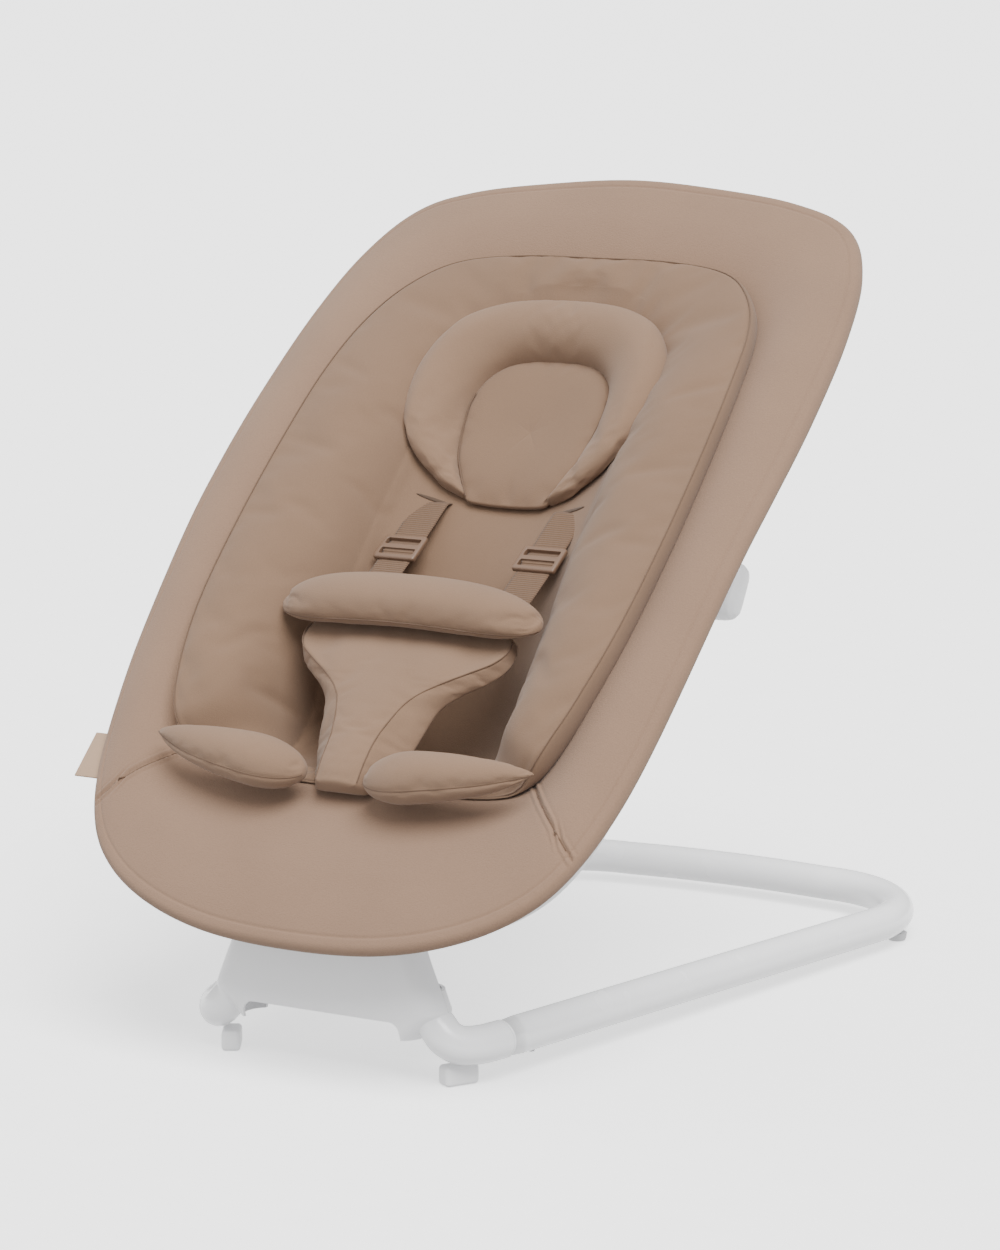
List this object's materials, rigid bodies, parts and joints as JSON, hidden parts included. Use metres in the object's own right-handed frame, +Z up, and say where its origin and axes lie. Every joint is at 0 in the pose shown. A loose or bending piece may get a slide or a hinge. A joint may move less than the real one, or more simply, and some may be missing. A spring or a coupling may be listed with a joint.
{
  "type": "bouncer seat",
  "caption": "Baby bouncer seat: a padded bucket with a head pillow and harness, on a sprung arm that rises from a U-shaped floor tube.",
  "frame": {"origin": "middle of the bounding box's floor face: the floor under the middle of the seat", "axes": "+Z up; +Y towards the head end; the seat faces -Y; +X to the right when facing along +Y"},
  "size_m": [0.4762, 0.7064, 0.6139],
  "materials": {
    "white_paint": "satin",
    "white_plastic": "satin",
    "dark_steel": "satin",
    "grey_rubber": "matte",
    "beige_fabric": "matte",
    "taupe_fabric": "matte",
    "taupe_webbing": "matte",
    "taupe_plastic": "satin"
  },
  "bodies": {
    "base": {"floor_tube": "white_paint", "elbow_left": "white_paint", "elbow_right": "white_paint", "foot_front_left": "white_plastic", "foot_front_right": "white_plastic", "foot_rear_left": "grey_rubber", "foot_rear_right": "grey_rubber", "neck_front_cover": "white_plastic", "neck_rear_cover": "white_plastic", "neck_cross_tube": "dark_steel", "neck_screw_lower_left": "dark_steel", "neck_screw_lower_right": "dark_steel", "neck_screw_upper_left": "dark_steel", "neck_screw_upper_right": "dark_steel"},
    "snap_button_left": {"snap_button_left": "dark_steel"},
    "snap_button_right": {"snap_button_right": "dark_steel"},
    "support_arm": {"arm_upper_cover": "white_plastic", "arm_lower_cover": "white_plastic", "arm_spring_leaf": "dark_steel", "arm_clamp": "dark_steel", "recline_hub": "white_plastic"},
    "recline_handle": {"recline_handle": "white_plastic"},
    "lock_pin_left": {"lock_pin_left": "dark_steel"},
    "lock_pin_right": {"lock_pin_right": "dark_steel"},
    "seat": {"seat_shell": "white_plastic", "seat_cover": "beige_fabric", "inlay_pad": "taupe_fabric", "leg_cushion_left": "taupe_fabric", "leg_cushion_right": "taupe_fabric", "seat_bracket_left": "white_plastic", "seat_bracket_right": "white_plastic", "recline_axle": "dark_steel", "shoulder_strap_left": "taupe_webbing", "shoulder_strap_right": "taupe_webbing", "strap_clip_left": "taupe_plastic", "strap_clip_right": "taupe_plastic", "bracket_screw_left_front": "dark_steel", "bracket_screw_left_rear": "dark_steel", "bracket_screw_right_front": "dark_steel", "bracket_screw_right_rear": "dark_steel"},
    "head_pillow": {"head_pillow_roll": "taupe_fabric", "head_pillow_panel": "taupe_fabric"},
    "adjuster_left": {"strap_adjuster_left": "taupe_plastic"},
    "adjuster_right": {"strap_adjuster_right": "taupe_plastic"},
    "harness": {"belly_pad": "taupe_fabric", "crotch_pad": "taupe_fabric"}
  },
  "joints": [
    {"name": "bounce", "type": "hinge", "parent": "base", "child": "support_arm", "pos_m": [0, -0.29035, 0.0635], "axis": [-1, 0, 0], "range_deg": [-4, 4], "stiffness_Nm_per_rad": 300, "springref_deg": -1.81},
    {"name": "recline", "type": "hinge", "parent": "support_arm", "child": "seat", "pos_m": [0, 0.02024, 0.33746], "axis": [-1, 0, 0], "range_deg": [0, 35]},
    {"name": "handle_pull", "type": "slide", "parent": "support_arm", "child": "recline_handle", "axis": [0, 0.723, 0.6909], "range_m": [0, 0.01], "stiffness_N_per_m": 800},
    {"name": "lock_pin_left_slide", "type": "slide", "parent": "support_arm", "child": "lock_pin_left", "axis": [1, 0, 0], "range_m": [0, 0.006]},
    {"name": "lock_pin_right_slide", "type": "slide", "parent": "support_arm", "child": "lock_pin_right", "axis": [-1, 0, 0], "range_m": [0, 0.006]},
    {"name": "snap_button_left_press", "type": "slide", "parent": "base", "child": "snap_button_left", "axis": [0, 0, 1], "range_m": [0, 0.004], "stiffness_N_per_m": 600},
    {"name": "snap_button_right_press", "type": "slide", "parent": "base", "child": "snap_button_right", "axis": [0, 0, 1], "range_m": [0, 0.004], "stiffness_N_per_m": 600},
    {"name": "head_pillow_slide", "type": "slide", "parent": "seat", "child": "head_pillow", "axis": [0, 0.723, 0.6909], "range_m": [0, 0.012]},
    {"name": "adjuster_left_slide", "type": "slide", "parent": "seat", "child": "adjuster_left", "axis": [0, -0.8791, -0.4766], "range_m": [-0.012, 0.012]},
    {"name": "adjuster_right_slide", "type": "slide", "parent": "seat", "child": "adjuster_right", "axis": [0, -0.8791, -0.4766], "range_m": [-0.012, 0.012]},
    {"name": "harness_fold", "type": "hinge", "parent": "seat", "child": "harness", "pos_m": [0, -0.27778, 0.20205], "axis": [1, 0, 0], "range_deg": [0, 70]}
  ],
  "couplings": [
    {"joint": "lock_pin_left_slide", "follows": "handle_pull", "ratio": 0.6},
    {"joint": "lock_pin_right_slide", "follows": "handle_pull", "ratio": 0.6}
  ]
}
